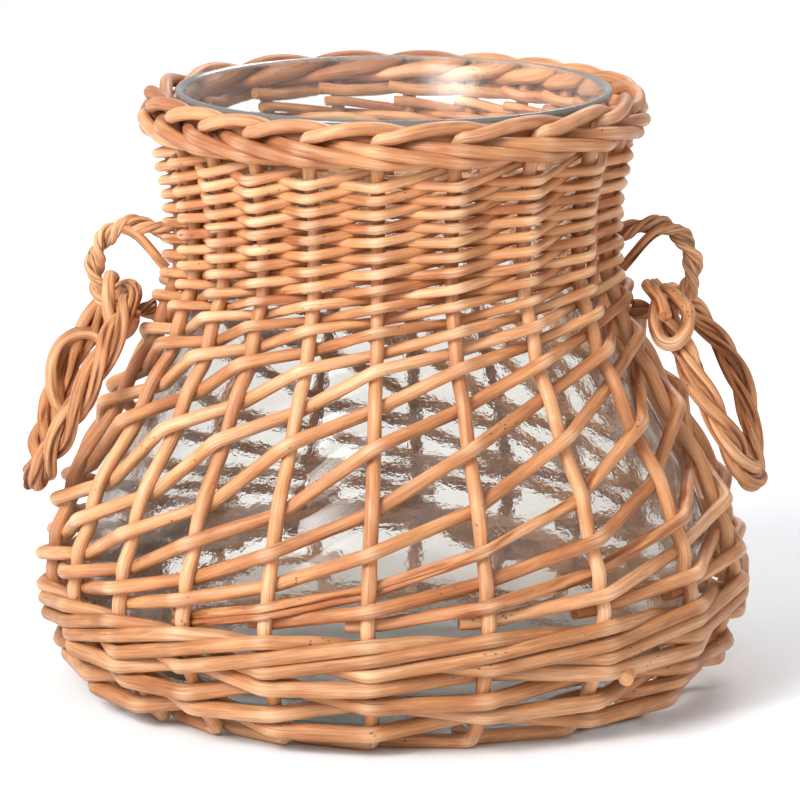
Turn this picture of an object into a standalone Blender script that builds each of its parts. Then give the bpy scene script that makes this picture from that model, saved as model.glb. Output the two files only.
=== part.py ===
"""Round glass flower vase held in an open sleeve of woven willow rods, with two swinging hoop handles.

The front is -Y, up is +Z and the origin lies under the middle of the base.
Lengths are metres and named angles are degrees. A place round the vase is counted in stakes: place 0 is the
stake at the front, place 1 the next one to the right, and 1.5 lies halfway between the next two.
"""

import math

import bmesh
import bpy
from mathutils import Vector

# Driving dimensions of the sleeve, on the middle line of the stakes
STAKE_COUNT = 20
FRONT_STAKE_DEG = -4.0
CROWDING_DEG = 5.5
FOOT_RADIUS = 0.113
BELLY_RADIUS = 0.138
BELLY_HEIGHT = 0.050
NECK_RADIUS = 0.0846
NECK_HEIGHT = 0.183
BORDER_RADIUS = 0.0953
BORDER_HEIGHT = 0.236
GAP = 0.0003
WEAVE_EASE = 0.0003
END_STAKES = 0.22
END_TAPER = 0.8

# Rods, as half of their thickness
STAKE_HALF = 0.00290
BORDER_HALF = 0.00275
TAIL_HALF = 0.00240
WALE_HALF = 0.00220
LATTICE_HALF = 0.00210
NECK_ROD_HALF = 0.00140

# Foot border: how far the kinked lower end of a stake runs to the left, and how its tail rises inside
FOOT_RUN_STAKES = 1.13
FOOT_TAIL_RISE = 0.0042
FOOT_TAIL_INSET = 0.0010

# Open lattice and close neck weave, both made by the same twenty rods
OPEN_STAKES = 5.0
CLOSING_STAKES = 6.0
LEVELLED_STAKES = 9.0
LATTICE_MIDDLE_HEIGHT = 0.1062
LATTICE_MIDDLE_STAKE = 4.5
LATTICE_SPREAD = 2.0
LATTICE_PITCH = 0.0200
NECK_PITCH = 0.00270
NECK_FRONT_HALF_HEIGHT = 0.00165
NECK_BACK_HALF_HEIGHT = 0.00095

# Lower band of four waling rods, whose second round rises towards the right of the front
WALE_RODS = 4
WALE_PITCH = 0.0047
WALE_FIRST_HEIGHT = 0.0100
WALE_TOP_LOW = 0.0444
WALE_TOP_RISE = 0.0070
WALE_HIGH_DEG = 28.0
WALE_STEP_PLACE = 8
WALE_STEP_STAKES = 2

# Rolled top border: stakes travelled, then rods outwards and rods upwards from the bend
BORDER_ROUTE = (
    (0.25, 0.15, 0.88),
    (0.55, 0.25, 1.12),
    (0.80, -0.20, 0.95),
    (1.00, -1.09, -0.05),
    (1.30, -0.45, -0.25),
    (1.65, 0.66, 0.05),
    (2.00, 1.10, -0.30),
    (2.50, 1.12, -0.88),
    (3.00, 1.16, -1.42),
    (3.50, 0.20, -1.72),
    (3.93, -1.06, -1.72),
    (4.25, -1.06, -1.72),
)

# Glass jar
GLASS_WALL = 0.0040
GLASS_BASE_THICKNESS = 0.0075
GLASS_BASE_INSET = 0.0200
GLASS_HEEL = ((0.0055, 0.0016), (0.0098, 0.0070))
GLASS_HEIGHT = 0.2430
GLASS_LIP_RADIUS = 0.0882
GLASS_LIP_HALF = 0.0026
GLASS_SIDES = 26

# Handles
RING_STAND_OFF = 0.01075
RING_TOP_SEAT = 0.0008
RING_LOW_SEAT = -0.0006
RING_HALF_WIDTH = 0.0150
RING_TOP_END_DEG = 127.0
RING_LOW_END_DEG = -113.0
RING_HALF_HEIGHT = 0.0176
RING_CENTRE_HEIGHT = 0.1683
RING_STRAND_HALF = 0.00115
RING_STRAND_OFFSET = 0.00180
RING_TURNS = 3.0
RING_STEPS = 24
HOOP_RADIUS = 0.0445
HOOP_DROP = 0.0092
HOOP_SEAT = 0.0016
HOOP_YAW_DEG = 0.0
HOOP_BULGE = 0.0040
HOOP_STRAND_HALF = 0.00270
HOOP_STRAND_OFFSET = 0.00300
HOOP_LAPS = 3
HOOP_TWISTS = 13
HOOP_LAP_STEPS = 35
HOOP_START_DEG = 100.0
HOOP_END_GAP_DEG = 0.8


def clear_scene():
    for old in list(bpy.data.objects):
        bpy.data.objects.remove(old, do_unlink=True)


def make_material(name, colour, roughness, metallic=0.0, transmission=0.0):
    material = bpy.data.materials.new(name)
    material.use_nodes = True
    shader = material.node_tree.nodes["Principled BSDF"]
    shader.inputs["Base Color"].default_value = (*colour, 1.0)
    shader.inputs["Roughness"].default_value = roughness
    shader.inputs["Metallic"].default_value = metallic
    shader.inputs["Transmission Weight"].default_value = transmission
    return material


def blend(first, second, share):
    return first + (second - first) * share


def eased(share):
    """0 to 1 with a slow start and a slow end, held at both ends."""
    held = min(max(share, 0.0), 1.0)
    return held * held * (3.0 - 2.0 * held)


# Places round the vase


def azimuth(place):
    """Angle from the front towards the right, in radians. The stakes stand closer on the left of the front."""
    even = 360.0 / STAKE_COUNT * place
    crowded = CROWDING_DEG * (1.0 - math.cos(math.radians(2.0 * even)))
    return math.radians(FRONT_STAKE_DEG + even + crowded)


def outward(place):
    angle = azimuth(place)
    return Vector((math.sin(angle), -math.cos(angle), 0.0))


def point_at(place, radius, height):
    return outward(place) * radius + Vector((0.0, 0.0, height))


def smooth_radius(height):
    """Middle line of the stakes: out to the belly, in to the neck and out again to the border."""
    if height < BELLY_HEIGHT:
        rise = max(height / BELLY_HEIGHT, 0.0) ** 0.9
        return blend(FOOT_RADIUS, BELLY_RADIUS, math.sin(rise * math.pi / 2.0))
    if height < NECK_HEIGHT:
        rise = (height - BELLY_HEIGHT) / (NECK_HEIGHT - BELLY_HEIGHT)
        return blend(NECK_RADIUS, BELLY_RADIUS, (1.0 + math.cos(math.pi * rise)) / 2.0)
    rise = (height - NECK_HEIGHT) / (BORDER_HEIGHT - NECK_HEIGHT)
    return blend(NECK_RADIUS, BORDER_RADIUS, min(rise, 1.0) ** 2)


def stake_heights():
    """Heights of the corners of every upright stake between its two bends."""
    belly = [BELLY_HEIGHT * share for share in (0.26, 0.62, 1.10)]
    shoulder = [blend(BELLY_HEIGHT, NECK_HEIGHT, share) for share in (0.26, 0.48, 0.70, 0.90)]
    neck = [blend(NECK_HEIGHT, BORDER_HEIGHT, share) for share in (0.28, 0.72)]
    return [STAKE_HALF, *belly, *shoulder, *neck, BORDER_HEIGHT]


def stake_radius(height):
    """Radius of the real, cornered middle line of the stakes, which the woven rods lie against."""
    corners = stake_heights()
    held = min(max(height, corners[0]), corners[-1])
    for low, high in zip(corners, corners[1:]):
        if held <= high:
            share = (held - low) / (high - low)
            return blend(smooth_radius(low), smooth_radius(high), share)
    return smooth_radius(corners[-1])


def steepness(height):
    """Angle of the stakes' outward normal below the horizontal, in radians."""
    step = 0.002
    low = max(height - step, 0.0)
    high = height + step
    return math.atan2(smooth_radius(high) - smooth_radius(low), high - low)


def on_sleeve(place, height, offset):
    """Point at this offset from the stakes' middle line, square to the sleeve."""
    lean = steepness(height)
    radius = stake_radius(height) + offset * math.cos(lean)
    return point_at(place, radius, height - offset * math.sin(lean))


def normal_at(place, height):
    lean = steepness(height)
    return outward(place) * math.cos(lean) - Vector((0.0, 0.0, math.sin(lean)))


def woven_offset(place, height, rod_half, side):
    """Offset of a rod's middle line in front (side 1) or behind (side -1), so its straight runs clear the stake."""
    need = STAKE_HALF + rod_half + GAP + WEAVE_EASE * (2.0 if side > 0.0 else 1.0)
    spacing = (azimuth(place + 1) - azimuth(place - 1)) / 2.0
    bend = math.asin(2.0 * need / (stake_radius(height) * spacing))
    return side * need / math.cos(bend + side * spacing / 2.0)


# Solids


def mesh_object(name, body, material):
    bmesh.ops.recalc_face_normals(body, faces=body.faces)
    mesh = bpy.data.meshes.new(name)
    body.to_mesh(mesh)
    body.free()
    mesh.materials.append(material)
    for face in mesh.polygons:
        face.use_smooth = len(face.vertices) == 4
    made = bpy.data.objects.new(name, mesh)
    bpy.context.scene.collection.objects.link(made)
    return made


def mitre(before, after, spoke):
    """Stretches a section's spoke across a bend, so that the rod keeps its thickness round the corner."""
    half_turn = before.angle(after) / 2.0
    across = after - before
    if across.length < 1e-6:
        return spoke
    across.normalize()
    return spoke + across * spoke.dot(across) * (1.0 / math.cos(min(half_turn, 0.9)) - 1.0)


def rod(name, stations, sides, material):
    """Sweeps a closed rod along its stations: middle point, outward direction, half depth and half height."""
    body = bmesh.new()
    rings = []
    points = [station[0] for station in stations]
    for index, (point, facing, half_depth, half_height) in enumerate(stations):
        before = (point - points[index - 1]).normalized() if index else None
        after = (points[index + 1] - point).normalized() if index + 1 < len(points) else None
        before = before or after
        after = after or before
        along = (before + after).normalized()
        depth = (facing - along * facing.dot(along)).normalized()
        height = along.cross(depth)
        ring = []
        for corner in range(sides):
            turn = 2.0 * math.pi * (corner + 0.5) / sides
            spoke = depth * half_depth * math.cos(turn) + height * half_height * math.sin(turn)
            ring.append(body.verts.new(point + mitre(before, after, spoke)))
        rings.append(ring)
    for low, high in zip(rings, rings[1:]):
        for corner in range(sides):
            following = (corner + 1) % sides
            body.faces.new((low[corner], low[following], high[following], high[corner]))
    body.faces.new(rings[0])
    body.faces.new(rings[-1])
    return mesh_object(name, body, material)


def turned(name, outline, sides, material):
    """Revolves a closed outline of (radius, height) points, which starts and ends on the axis."""
    body = bmesh.new()
    rings = []
    for radius, height in outline:
        if radius == 0.0:
            rings.append([body.verts.new((0.0, 0.0, height))] * sides)
            continue
        angles = [2.0 * math.pi * side / sides for side in range(sides)]
        rings.append([body.verts.new((radius * math.sin(a), -radius * math.cos(a), height)) for a in angles])
    for low, high in zip(rings, rings[1:]):
        for side in range(sides):
            following = (side + 1) % sides
            corners = (low[side], low[following], high[following], high[side])
            body.faces.new(list(dict.fromkeys(corners)))
    made = mesh_object(name, body, material)
    for face in made.data.polygons:
        face.use_smooth = True
    return made


# Stakes, from the foot border to the top border


def foot_stations(place):
    """The kinked lower end, from its tail behind the stake on the left."""
    radius = smooth_radius(STAKE_HALF)
    inside = radius - 2.0 * STAKE_HALF - GAP
    tail_place = place - FOOT_RUN_STAKES
    tail = point_at(tail_place, inside - FOOT_TAIL_INSET, STAKE_HALF + FOOT_TAIL_RISE)
    behind = point_at(place - 1, inside, STAKE_HALF)
    corner = point_at(place, radius, STAKE_HALF)
    return [
        (tail, outward(tail_place), TAIL_HALF, TAIL_HALF),
        (behind, outward(place - 1), STAKE_HALF, STAKE_HALF),
        (corner, outward(place), STAKE_HALF, STAKE_HALF),
    ]


def border_stations(place):
    """The upper end after its bend: behind one stake, in front of two, and inside."""
    rod_step = 2.0 * BORDER_HALF + GAP
    stations = []
    for travelled, out, rise in BORDER_ROUTE:
        height = BORDER_HEIGHT + rise * rod_step
        radius = stake_radius(height) + out * rod_step
        half = blend(BORDER_HALF, TAIL_HALF, eased((travelled - 3.0) / 1.0))
        spot = place + travelled
        stations.append((point_at(spot, radius, height), outward(spot), half, half))
    return stations


def stake(number, material):
    place = number - 1
    stations = foot_stations(place)
    for height in stake_heights()[1:]:
        half = blend(STAKE_HALF, BORDER_HALF, eased((height - BELLY_HEIGHT) / (NECK_HEIGHT - BELLY_HEIGHT)))
        stations.append((point_at(place, stake_radius(height), height), normal_at(place, height), half, half))
    stations += border_stations(place)
    return rod(f"stake_{number:02d}", stations, 5, material)


# Spiral weavers


def wale_top(place):
    """Upper edge of the lower band, highest towards the right of the front."""
    share = (1.0 + math.cos(azimuth(place) - math.radians(WALE_HIGH_DEG))) / 2.0
    return WALE_TOP_LOW + WALE_TOP_RISE * share**1.5


def level_at(passed):
    """Climb of a weaver, steep through the lattice and slow in the neck."""
    ahead = passed - LATTICE_MIDDLE_STAKE
    level = LATTICE_MIDDLE_HEIGHT + NECK_PITCH * ahead
    return level + (LATTICE_PITCH - NECK_PITCH) * LATTICE_SPREAD * math.atan(ahead / LATTICE_SPREAD)


def crossing_height(passed, place):
    """Height at which a weaver crosses a stake, by the number of stakes that it has passed."""
    lift = wale_top(place) - wale_top(0)
    return level_at(passed) + lift * (1.0 - eased(passed / LEVELLED_STAKES))


def weaver_stakes():
    """Stakes that each weaver passes before the close weave fills the neck up to the rolled border."""
    rod_step = 2.0 * BORDER_HALF + GAP
    border_bottom = BORDER_HEIGHT + BORDER_ROUTE[-1][2] * rod_step - TAIL_HALF
    passed = STAKE_COUNT
    while level_at(passed + 1) + NECK_FRONT_HALF_HEIGHT + GAP < border_bottom:
        passed += 1
    while level_at(passed) + NECK_FRONT_HALF_HEIGHT + GAP > border_bottom:
        passed -= 1
    return passed - passed % 2


def closing(passed):
    """0 while a weaver belongs to the open lattice, 1 once it lies in the close neck weave."""
    return eased((passed - OPEN_STAKES) / CLOSING_STAKES)


def weaver_half(passed):
    return blend(LATTICE_HALF, NECK_ROD_HALF, closing(passed))


def weaver_station(first, passed):
    """One crossing of the weaver that starts behind stake `first`: in front at odd counts, behind at even ones."""
    place = first + passed
    half = weaver_half(passed)
    height = crossing_height(passed, place)
    in_front = passed % 2 == 1
    side = 1.0 if in_front else -1.0
    tall = blend(LATTICE_HALF, NECK_FRONT_HALF_HEIGHT if in_front else NECK_BACK_HALF_HEIGHT, closing(passed))
    point = on_sleeve(place, height, woven_offset(place, height, half, side))
    corner = math.sqrt(2.0)
    return (point, normal_at(place, height), half * corner, tall * corner)


def tucked_end(first, passed, shift):
    """End of a weaver that lies inside, a little before its first or after its last stake."""
    point, facing, depth, tall = weaver_station(first, passed)
    place = first + passed + shift
    height = crossing_height(passed, first + passed)
    inside = woven_offset(first + passed, height, weaver_half(passed), -1.0)
    return (on_sleeve(place, height, inside), normal_at(place, height), depth * END_TAPER, tall * END_TAPER)


def spiral_weaver(number, material):
    first = number - 1
    stations = [tucked_end(first, 0, -END_STAKES)]
    last = weaver_stakes()
    stations += [weaver_station(first, passed) for passed in range(last + 1)]
    stations.append(tucked_end(first, last, END_STAKES))
    return rod(f"spiral_weaver_{number:02d}", stations, 4, material)


# Lower band


def wale_height(order, place):
    """Height of a waling rod on its way round: level in its first round, then a step up to the second."""
    low = WALE_FIRST_HEIGHT + WALE_PITCH * order
    high = wale_top(place) - WALE_HALF - WALE_PITCH * (WALE_RODS - 1 - order)
    step = (place - STAKE_COUNT - WALE_STEP_PLACE) / WALE_STEP_STAKES
    return blend(low, high, min(max(step, 0.0), 1.0))


def wale_station(order, place, stake_place, scale=1.0):
    height = wale_height(order, stake_place)
    behind = (stake_place + order) % WALE_RODS == 0
    side = -1.0 if behind else 1.0
    offset = woven_offset(stake_place, height, WALE_HALF, side)
    half = WALE_HALF * scale * math.sqrt(2.0)
    return (on_sleeve(place, height, offset), normal_at(place, height), half, half)


def wale_rod(number, material):
    """One of four rods that pass in front of three stakes and behind one, nearly two rounds in all."""
    order = number - 1
    start = int(WALE_STEP_PLACE + WALE_STEP_STAKES) + 1
    start += -(start + order) % WALE_RODS
    end = int(WALE_STEP_PLACE) + 2 * STAKE_COUNT
    end -= (end + order) % WALE_RODS
    stations = [wale_station(order, start - END_STAKES, start, END_TAPER)]
    stations += [wale_station(order, place, place) for place in range(start, end + 1)]
    stations.append(wale_station(order, end + END_STAKES, end, END_TAPER))
    return rod(f"wale_rod_{number}", stations, 4, material)


# Glass jar


def glass_room():
    """Depth kept for the rods that pass inside the stakes, at the belly and at the neck."""
    tightest = -STAKE_COUNT / 8.0
    belly = WALE_HALF + 3.0 * GAP - woven_offset(tightest, BELLY_HEIGHT, WALE_HALF, -1.0)
    neck = NECK_ROD_HALF + 3.0 * GAP - woven_offset(tightest, NECK_HEIGHT, NECK_ROD_HALF, -1.0)
    return belly, neck


def inner_sleeve(height, room):
    """Radius at this room inside the stakes, measured square to the sleeve."""
    return min(stake_radius(height), smooth_radius(height)) - room / math.cos(steepness(height))


def glass_outline():
    """Outer and inner outline of the jar, as (radius, height) from the base round the lip and back down."""
    belly_room, neck_room = glass_room()
    neck = NECK_RADIUS - neck_room
    base = FOOT_RADIUS - GLASS_BASE_INSET
    outer = [(0.0, 0.0), (base, 0.0)]
    outer += [(base + out, height) for out, height in GLASS_HEEL]
    for share in (0.45, 1.0):
        height = BELLY_HEIGHT * share
        outer.append((inner_sleeve(height, belly_room), height))
    for share in (0.30, 0.55, 0.76, 0.90, 1.0):
        height = blend(BELLY_HEIGHT, NECK_HEIGHT, share)
        room = blend(neck_room, belly_room, (1.0 + math.cos(math.pi * share)) / 2.0)
        outer.append((inner_sleeve(height, room), height))
    flare = GLASS_LIP_RADIUS - neck
    lip_height = GLASS_HEIGHT - GLASS_LIP_HALF
    for share in (0.60, 0.86, 1.0):
        outer.append((neck + flare * share**3.2, blend(NECK_HEIGHT, lip_height, share)))
    lip = []
    for angle in (50.0, 90.0, 130.0):
        out = GLASS_LIP_HALF * (math.cos(math.radians(angle)) - 1.0)
        rise = GLASS_LIP_HALF * (math.sin(math.radians(angle)) - 1.0)
        lip.append((GLASS_LIP_RADIUS + out, GLASS_HEIGHT + rise))
    inner = []
    for radius, height in reversed(outer[4:-2]):
        inner.append((radius - GLASS_WALL, height))
    for out, height in reversed(GLASS_HEEL):
        inner.append((base + out - GLASS_WALL, height + GLASS_BASE_THICKNESS))
    inner.append((base - 2.0 * GLASS_WALL, GLASS_BASE_THICKNESS))
    inner.append((0.0, GLASS_BASE_THICKNESS))
    return outer + lip + inner


def glass_jar(material):
    return turned("glass_jar", glass_outline(), GLASS_SIDES, material)


# Handles


def outer_face(height):
    """Radius of the outermost rods of the sleeve at the handles, where a weaver passes in front of a stake."""
    half = LATTICE_HALF if height < RING_CENTRE_HEIGHT else NECK_ROD_HALF
    offset = woven_offset(STAKE_COUNT / 4.0, height, half, 1.0) + half
    return stake_radius(height) + offset * math.cos(steepness(height))


def ring_centre_radius():
    return outer_face(RING_CENTRE_HEIGHT) + RING_STAND_OFF


def ring_middle(share):
    """Middle line of a ring in its upright plane, as (radius, height), with both ends seated on the sleeve."""
    angle = math.radians(blend(RING_TOP_END_DEG, RING_LOW_END_DEG, share))
    height = RING_CENTRE_HEIGHT + RING_HALF_HEIGHT * math.sin(angle)
    centre = ring_centre_radius()
    if math.cos(angle) > 0.0:
        return centre + RING_HALF_WIDTH * math.cos(angle), height
    end = math.radians(RING_TOP_END_DEG if angle > 0.0 else RING_LOW_END_DEG)
    end_height = RING_CENTRE_HEIGHT + RING_HALF_HEIGHT * math.sin(end)
    seat = stake_radius(end_height) + RING_STRAND_OFFSET + RING_STRAND_HALF
    seat += RING_TOP_SEAT if angle > 0.0 else RING_LOW_SEAT
    return blend(centre, seat, math.cos(angle) / math.cos(end)), height


def ring_strand(side_name, side, number, material):
    stations = []
    for step in range(RING_STEPS + 1):
        share = step / RING_STEPS
        radius, height = ring_middle(share)
        ahead_radius, ahead_height = ring_middle(share + 0.01)
        along = Vector((side * (ahead_radius - radius), 0.0, ahead_height - height)).normalized()
        sideways = Vector((0.0, 1.0, 0.0))
        inwards = along.cross(sideways)
        turn = math.radians(360.0 * RING_TURNS * share + 180.0 * number)
        spoke = inwards * math.cos(turn) + sideways * math.sin(turn)
        point = Vector((side * radius, 0.0, height)) + spoke * RING_STRAND_OFFSET
        half = RING_STRAND_HALF * math.sqrt(2.0)
        stations.append((point, spoke, half, half))
    return rod(f"{side_name}_ring_strand_{number}", stations, 4, material)


def hoop_frame(side, rest_deg):
    """Hinge axis, downward direction in the hoop's plane, and the plane's normal towards the sleeve."""
    yaw = math.radians(HOOP_YAW_DEG)
    rest = math.radians(rest_deg)
    out = Vector((side * math.cos(yaw), -math.sin(yaw), 0.0))
    axis = Vector((side * math.sin(yaw), math.cos(yaw), 0.0))
    down = out * math.cos(rest) - Vector((0.0, 0.0, math.sin(rest)))
    return axis, down, axis.cross(down) * side


def hoop_middle(frame, swing):
    """Middle line of the rope from the pivot, bulging away from the sleeve at the back, and the radial direction."""
    axis, down, inward = frame
    radial = axis * math.sin(swing) - down * math.cos(swing)
    bulge = HOOP_BULGE * max(math.sin(swing), 0.0) ** 2
    return (down + radial) * HOOP_RADIUS - inward * bulge, radial


def hoop_pivot(side):
    return Vector((side * ring_centre_radius(), 0.0, RING_CENTRE_HEIGHT - HOOP_DROP))


def hoop_clearance(rest_deg):
    """Least room between the lower half of a hoop at this angle and the sleeve's outermost rods."""
    frame = hoop_frame(1.0, rest_deg)
    rope = HOOP_STRAND_OFFSET + HOOP_STRAND_HALF
    least = HOOP_RADIUS
    for swing_deg in range(90, 280, 10):
        point = hoop_pivot(1.0) + hoop_middle(frame, math.radians(swing_deg))[0]
        least = min(least, math.hypot(point.x, point.y) - rope - outer_face(point.z))
    return least


def hoop_rest_deg():
    """A hoop swings down from level until it lies on the sleeve, at the latest until it hangs straight down."""
    rest = 0.0
    while rest < 90.0 and hoop_clearance(rest + 0.1) > HOOP_SEAT:
        rest += 0.1
    return rest


def hoop_handle(side_name, side, material):
    """One rod wound three times round on itself, hanging in its ring and lying on the shoulder of the sleeve."""
    frame = hoop_frame(side, hoop_rest_deg())
    stations = []
    steps = HOOP_LAPS * HOOP_LAP_STEPS
    for step in range(steps + 1):
        share = step / steps
        swing = math.radians(HOOP_START_DEG + (360.0 * HOOP_LAPS - HOOP_END_GAP_DEG) * share)
        point, radial = hoop_middle(frame, swing)
        turn = 2.0 * math.pi * HOOP_TWISTS * share
        spoke = radial * math.cos(turn) + frame[2] * side * math.sin(turn)
        stations.append((point + spoke * HOOP_STRAND_OFFSET, spoke, HOOP_STRAND_HALF, HOOP_STRAND_HALF))
    made = rod(f"{side_name}_hoop_handle", stations, 4, material)
    made.location = hoop_pivot(side)
    return made


def build():
    clear_scene()
    glass = make_material("clear_glass", (0.86, 0.88, 0.88), 0.03, transmission=0.9)
    upright = make_material("upright_willow", (0.62, 0.33, 0.16), 0.62)
    weaver = make_material("spiral_willow", (0.72, 0.42, 0.22), 0.58)
    band = make_material("waling_willow", (0.66, 0.37, 0.18), 0.60)
    skein = make_material("ring_willow", (0.42, 0.20, 0.09), 0.70)
    handle = make_material("handle_willow", (0.56, 0.28, 0.13), 0.62)
    glass_jar(glass)
    for number in range(1, STAKE_COUNT + 1):
        stake(number, upright)
        spiral_weaver(number, weaver)
    for number in range(1, WALE_RODS + 1):
        wale_rod(number, band)
    for side_name, side in (("left", -1.0), ("right", 1.0)):
        for number in (1, 2):
            ring_strand(side_name, side, number, skein)
        hoop_handle(side_name, side, handle)


build()
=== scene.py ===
# %% [markdown]
# # A glass flower vase in a willow sleeve
# The real object is a clear glass jar that a basket maker has wrapped in peeled willow rods: twenty upright
# stakes, twenty spiral weavers that make an open lattice and then a close neck, a band of four waling rods
# at the foot and a rolled border at the top. Two small rings of twisted skein carry two hoops of wound rod.
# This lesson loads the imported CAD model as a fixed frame. It gives each CAD rod a round, slightly uneven
# rod with a willow finish, and the jar a smooth wall with a rippled glass finish.

# %% Load the frame
import math

import bpy
import numpy as np
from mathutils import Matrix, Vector, noise


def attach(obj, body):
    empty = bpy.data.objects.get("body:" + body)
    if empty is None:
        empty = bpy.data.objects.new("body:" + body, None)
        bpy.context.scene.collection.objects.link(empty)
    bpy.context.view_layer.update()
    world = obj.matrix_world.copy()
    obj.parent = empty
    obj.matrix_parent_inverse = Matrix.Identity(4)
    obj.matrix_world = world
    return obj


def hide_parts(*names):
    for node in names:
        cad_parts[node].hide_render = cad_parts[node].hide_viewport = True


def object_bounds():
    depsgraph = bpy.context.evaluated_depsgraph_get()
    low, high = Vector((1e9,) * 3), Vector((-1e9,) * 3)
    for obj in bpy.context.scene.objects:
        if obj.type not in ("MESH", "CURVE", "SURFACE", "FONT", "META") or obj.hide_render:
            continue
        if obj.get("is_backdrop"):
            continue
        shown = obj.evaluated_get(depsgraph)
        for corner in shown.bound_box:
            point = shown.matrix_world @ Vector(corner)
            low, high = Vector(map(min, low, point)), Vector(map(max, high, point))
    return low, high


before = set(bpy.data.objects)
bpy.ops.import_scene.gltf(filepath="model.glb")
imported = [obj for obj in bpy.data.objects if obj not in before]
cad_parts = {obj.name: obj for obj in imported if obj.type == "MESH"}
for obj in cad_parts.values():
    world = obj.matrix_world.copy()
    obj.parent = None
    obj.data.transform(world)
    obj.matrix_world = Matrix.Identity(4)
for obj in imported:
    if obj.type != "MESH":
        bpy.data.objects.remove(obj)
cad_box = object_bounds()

MILLIMETRE = 0.001
NOISE_SEED = 1

noise.seed_set(NOISE_SEED)
print("CAD box in millimetres:", [[round(value / MILLIMETRE, 1) for value in corner] for corner in cad_box])

# %% [markdown]
# ## Camera
# The photograph was taken from well in front with a long lens, a little above the rim, so the belly hides
# the foot of the far side and the rim shows as a thin ellipse. One camera at that place gives the same
# view, with a small sideways shift, because the vase doesn't stand quite in the middle of the picture.

# %% Camera
CAMERA_PLACE = (0.0, -2.381, 0.605)
CAMERA_PITCH_DEG = 11.64
CAMERA_LENS = 272.7
CAMERA_SENSOR = 36.0
PICTURE_WIDTH = 800.0
CAMERA_SHIFT = 6.0 / PICTURE_WIDTH
VASE_MIDDLE = Vector((0.0, 0.0, 0.12))

bpy.ops.object.select_all(action="DESELECT")
pitch = math.radians(90.0 - CAMERA_PITCH_DEG)
bpy.ops.object.camera_add(location=CAMERA_PLACE, rotation=(pitch, 0.0, 0.0))
camera = bpy.context.object
camera.name = "photo_camera"
camera.data.lens = CAMERA_LENS
camera.data.sensor_width = CAMERA_SENSOR
camera.data.shift_x = CAMERA_SHIFT
bpy.context.scene.camera = camera
print("Camera stands", round((VASE_MIDDLE - Vector(CAMERA_PLACE)).length, 2), "m from the middle of the vase")

# %% [markdown]
# ## Helpers for finishes
# A finish in Blender is a tree of nodes, and so is the light of a lamp. These helpers make a node and fill
# its inputs with plain values or links, so the recipes below need one line for each node.

# %% Helpers for finishes
def fill(tree, node, values):
    """Sets a node's inputs to plain values, or links them to other nodes' outputs."""
    for name, source in values.items():
        if isinstance(source, (int, float, tuple)):
            node.inputs[name].default_value = source
        else:
            tree.links.new(source, node.inputs[name])


def add_node(tree, kind, values=None, **settings):
    """A node with its settings made and its inputs filled, by name or number."""
    made = tree.nodes.new(kind)
    for name, value in settings.items():
        setattr(made, name, value)
    fill(tree, made, values or {})
    return made


def new_finish(name):
    """A fresh material, its tree of nodes and its main shader."""
    material = bpy.data.materials.new(name)
    material.use_nodes = True
    return material, material.node_tree, material.node_tree.nodes["Principled BSDF"]


print("Helpers made:", [helper.__name__ for helper in (fill, add_node, new_finish)])

# %% [markdown]
# ## Floor and light
# The vase stands on plain white in soft light from the upper left, and its shadow falls to the right. A
# wide pale floor and a white sky give most of that light. A large lamp at the upper left in front makes the
# light side, and a weaker one behind on the right lights the far rods. Both fade to nothing at their edges,
# so the glass doesn't mirror a hard square. The standard view transform keeps white white.

# %% Floor
FLOOR_SIZE = 14.0
FLOOR_COLOUR = (0.915, 0.940, 0.968, 1.0)
FLOOR_ROUGHNESS = 0.9
FLOOR_GLOSS = 0.1

bpy.ops.object.select_all(action="DESELECT")
bpy.ops.mesh.primitive_plane_add(size=FLOOR_SIZE, location=(0.0, 0.0, 0.0))
floor = bpy.context.object
floor.name = "floor"
floor_finish, floor_tree, floor_shader = new_finish("pale_floor")
fill(floor_tree, floor_shader, {"Base Color": FLOOR_COLOUR, "Roughness": FLOOR_ROUGHNESS})
fill(floor_tree, floor_shader, {"Specular IOR Level": FLOOR_GLOSS})
floor.data.materials.append(floor_finish)
floor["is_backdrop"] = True
print("Floor of", FLOOR_SIZE, "m")

# %% Sky
SKY_STRENGTH = 0.68

world = bpy.data.worlds.new("white_sky")
world.use_nodes = True
sky = world.node_tree.nodes["Background"]
fill(world.node_tree, sky, {"Color": (1.0, 1.0, 1.0, 1.0), "Strength": SKY_STRENGTH})
bpy.context.scene.world = world
bpy.context.scene.view_settings.view_transform = "Standard"
print("White sky of strength", SKY_STRENGTH)

# %% Lamps
LAMP_CENTRE = (0.5, 0.5, 0.0)
LAMP_FADE = {"From Min": 0.5, "From Max": 0.0, "To Min": 0.0, "To Max": 1.0}
LAMP_FADE_POWER = 2.2
# Each lamp: its name, place, size in metres and power in watts.
LAMPS = (
    ("key_lamp", (-1.2, -1.6, 1.5), 2.4, 520.0),
    ("back_lamp", (0.45, 1.7, 1.6), 1.8, 135.0),
)


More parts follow.
